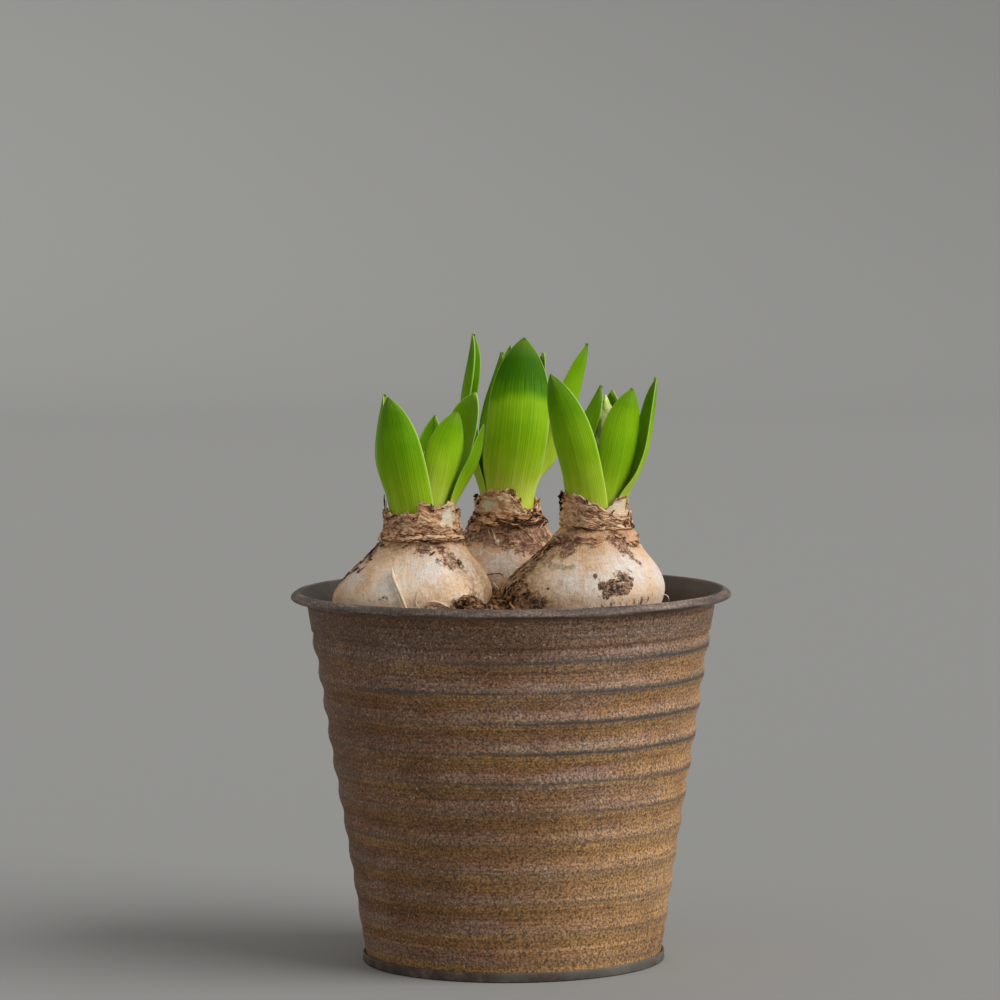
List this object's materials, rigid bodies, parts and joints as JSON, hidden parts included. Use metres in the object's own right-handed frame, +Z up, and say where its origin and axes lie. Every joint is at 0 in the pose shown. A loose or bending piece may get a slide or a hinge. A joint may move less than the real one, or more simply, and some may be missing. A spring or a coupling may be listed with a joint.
{
  "type": "potted hyacinth plant",
  "caption": "Sprouting hyacinth bulbs in a ribbed round tin pot: tapered pot with a rolled rim, soil, half-buried bulbs and young upright leaves round their buds.",
  "frame": {"origin": "centre of the pot's underside, on the surface it stands on", "axes": "+Z up along the pot's axis, -Y towards the side with two bulbs in front, +X to the right of someone who looks at that side"},
  "size_m": [0.15, 0.15, 0.2124],
  "materials": {
    "tin": "rust-brown patina, matt",
    "seam": "dark grey, matt",
    "soil": "moist potting soil, matt",
    "bulb_skin": "smooth cream scale with torn brown skin",
    "husk": "dry papery skin",
    "leaf": "fleshy green leaf, satin",
    "bud": "yellow-green florets, satin"
  },
  "bodies": {
    "root": {"pot_wall": "tin", "pot_base": "seam", "soil": "soil", "bulb_left": "bulb_skin", "husk_left": "husk", "bud_left": "bud", "leaf_left_front": "leaf", "leaf_left_behind_left": "leaf", "leaf_left_back": "leaf", "leaf_left_front_right": "leaf", "leaf_left_back_right": "leaf", "leaf_left_right": "leaf", "bulb_middle": "bulb_skin", "husk_middle": "husk", "bud_middle": "bud", "leaf_middle_front": "leaf", "leaf_middle_left_inner": "leaf", "leaf_middle_left": "leaf", "leaf_middle_back_right": "leaf", "leaf_middle_right": "leaf", "leaf_middle_back": "leaf", "bulb_right": "bulb_skin", "husk_right": "husk", "bud_right": "bud", "leaf_right_front_left": "leaf", "leaf_right_left_inner": "leaf", "leaf_right_front_right": "leaf", "leaf_right_right": "leaf", "leaf_right_back_inner": "leaf", "leaf_right_back": "leaf"}
  },
  "joints": []
}
